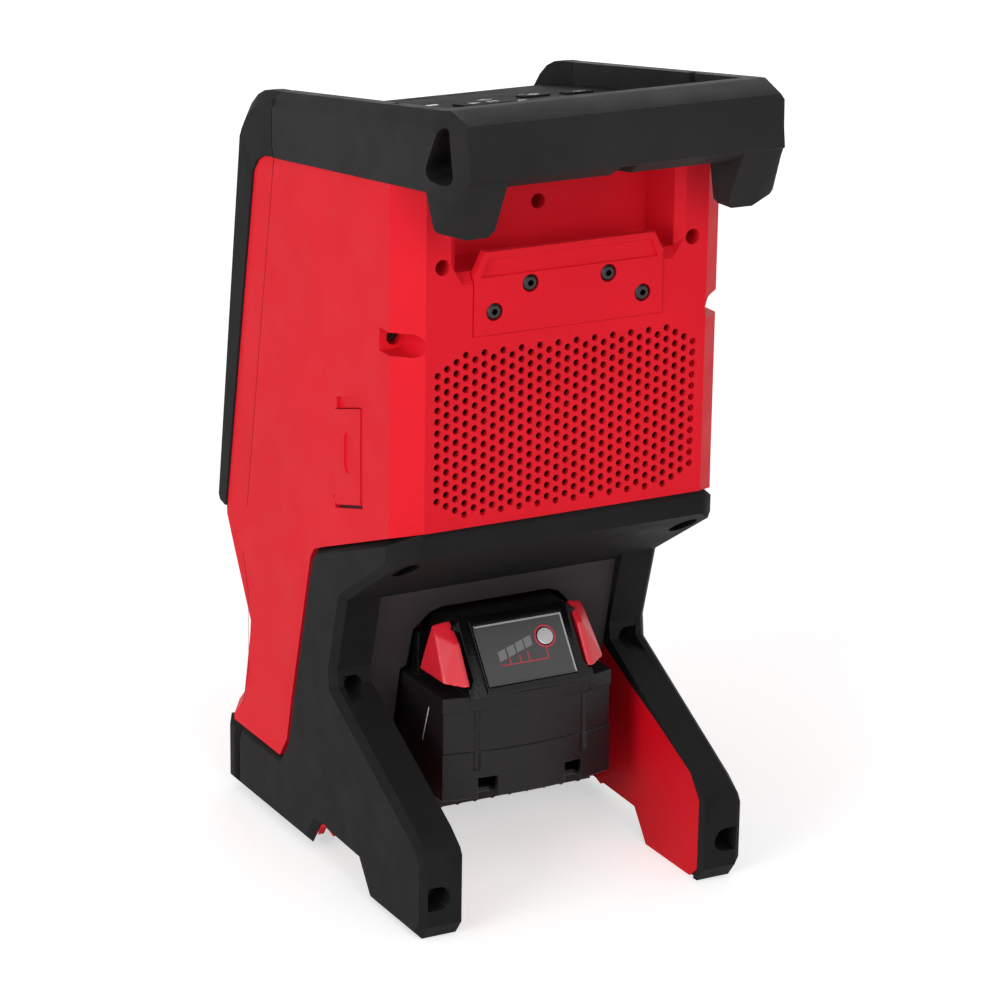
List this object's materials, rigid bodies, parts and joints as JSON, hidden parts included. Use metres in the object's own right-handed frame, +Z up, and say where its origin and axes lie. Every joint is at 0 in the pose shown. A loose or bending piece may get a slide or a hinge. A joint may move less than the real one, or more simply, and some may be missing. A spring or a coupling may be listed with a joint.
{
  "type": "bluetooth speaker",
  "caption": "Rugged jobsite speaker: red cabinet in black guards, carry handle, top keys, legs round a slide-in battery pack.",
  "frame": {"origin": "centre of the bounding box on the ground, between the feet", "axes": "+X to the right seen from the front, +Y to the back where the battery pack comes out, +Z up"},
  "size_m": [0.16, 0.238, 0.3647],
  "materials": {
    "red_shell": "moulded, fine satin texture",
    "leg_lining": "moulded, satin",
    "guard_black": "moulded, fine matt texture",
    "bay_black": "moulded, satin",
    "panel_black": "soft touch",
    "grille_metal": "punched, black powder coat",
    "inner_plastic": "moulded",
    "foam": "closed-cell foam",
    "surround_rubber": "soft rubber",
    "cone_paper": "pressed cone",
    "magnet_steel": "zinc plated",
    "sink_metal": "extruded",
    "board": "circuit board",
    "lens": "clear moulded light guide",
    "screw_black": "black oxide",
    "contact_brass": "plated",
    "pack_black": "moulded, leather-like grain",
    "pack_label": "printed label, clear coat",
    "cell_wrap": "shrink wrap",
    "gauge_key": "silver button",
    "release_red": "moulded, polished"
  },
  "bodies": {
    "speaker": {"front_housing": "red_shell", "rear_housing": "red_shell", "rear_grille": "red_shell", "front_bezel": "guard_black", "front_grille": "grille_metal", "speaker_baffle": "inner_plastic", "front_gasket": "foam", "rear_bumper": "guard_black", "control_panel": "panel_black", "control_board": "board", "status_lens": "lens", "woofer_frame_low": "inner_plastic", "woofer_frame_high": "inner_plastic", "woofer_magnet_low": "magnet_steel", "woofer_magnet_high": "magnet_steel", "woofer_surrounds": "surround_rubber", "tweeter_left": "inner_plastic", "tweeter_right": "inner_plastic", "radiator_frame": "inner_plastic", "radiator_surround": "surround_rubber", "amplifier_board": "board", "heat_sink": "sink_metal", "port_pocket": "red_shell", "port_board": "board", "usb_socket": "magnet_steel", "door_pin": "magnet_steel", "hang_plate": "red_shell", "plate_screws": "screw_black", "housing_screws": "screw_black", "lower_frame": "guard_black", "leg_liner_left": "leg_lining", "leg_liner_right": "leg_lining", "base_pan": "guard_black", "front_foot": "guard_black", "frame_screws": "screw_black", "battery_bay": "bay_black", "bay_contacts": "contact_brass"},
    "battery_pack": {"pack_lower_case": "pack_black", "pack_upper_case": "pack_black", "pack_cells": "cell_wrap", "pack_contacts": "contact_brass", "pack_label": "pack_label", "pack_screws": "screw_black"},
    "release_button_left": {"release_left": "release_red"},
    "release_button_right": {"release_right": "release_red"},
    "charge_button": {"gauge_button": "gauge_key"},
    "power_button": {"power_key": "panel_black"},
    "volume_down_button": {"volume_down_key": "panel_black"},
    "play_button": {"play_key": "panel_black"},
    "volume_up_button": {"volume_up_key": "panel_black"},
    "pairing_button": {"pairing_key": "panel_black"},
    "side_door": {"port_door": "red_shell"},
    "low_cone": {"woofer_cone_low": "cone_paper"},
    "high_cone": {"woofer_cone_high": "cone_paper"},
    "rear_radiator": {"radiator_plate": "cone_paper"}
  },
  "joints": [
    {"name": "battery_slide", "type": "slide", "parent": "speaker", "child": "battery_pack", "axis": [0, 1, 0], "range_m": [0, 0.125]},
    {"name": "release_left_press", "type": "slide", "parent": "battery_pack", "child": "release_button_left", "axis": [1, 0, 0], "range_m": [0, 0.0015], "stiffness_N_per_m": 1500, "springref_m": -0.001},
    {"name": "release_right_press", "type": "slide", "parent": "battery_pack", "child": "release_button_right", "axis": [-1, 0, 0], "range_m": [0, 0.0015], "stiffness_N_per_m": 1500, "springref_m": -0.001},
    {"name": "charge_press", "type": "slide", "parent": "battery_pack", "child": "charge_button", "axis": [0, -0.8018, -0.5976], "range_m": [0, 0.0006], "stiffness_N_per_m": 1500, "springref_m": -0.0005},
    {"name": "power_button_press", "type": "slide", "parent": "speaker", "child": "power_button", "axis": [0, 0.1478, -0.989], "range_m": [0, 0.0008], "stiffness_N_per_m": 1200, "springref_m": -0.0005},
    {"name": "volume_down_button_press", "type": "slide", "parent": "speaker", "child": "volume_down_button", "axis": [0, 0.1478, -0.989], "range_m": [0, 0.0008], "stiffness_N_per_m": 1200, "springref_m": -0.0005},
    {"name": "play_button_press", "type": "slide", "parent": "speaker", "child": "play_button", "axis": [0, 0.1478, -0.989], "range_m": [0, 0.0008], "stiffness_N_per_m": 1200, "springref_m": -0.0005},
    {"name": "volume_up_button_press", "type": "slide", "parent": "speaker", "child": "volume_up_button", "axis": [0, 0.1478, -0.989], "range_m": [0, 0.0008], "stiffness_N_per_m": 1200, "springref_m": -0.0005},
    {"name": "pairing_button_press", "type": "slide", "parent": "speaker", "child": "pairing_button", "axis": [0, 0.1478, -0.989], "range_m": [0, 0.0008], "stiffness_N_per_m": 1200, "springref_m": -0.0005},
    {"name": "side_door_hinge", "type": "hinge", "parent": "speaker", "child": "side_door", "pos_m": [0.0776, 0.02065, 0.1775], "axis": [0, 0.9636, 0.2672], "range_deg": [0, 105]},
    {"name": "low_cone_travel", "type": "slide", "parent": "speaker", "child": "low_cone", "axis": [0, -0.989, 0.1478], "range_m": [-0.0025, 0.0025], "stiffness_N_per_m": 1500},
    {"name": "high_cone_travel", "type": "slide", "parent": "speaker", "child": "high_cone", "axis": [0, -0.989, 0.1478], "range_m": [-0.0025, 0.0025], "stiffness_N_per_m": 1500},
    {"name": "rear_radiator_travel", "type": "slide", "parent": "speaker", "child": "rear_radiator", "axis": [0, 1, 0], "range_m": [-0.003, 0.003], "stiffness_N_per_m": 900}
  ]
}
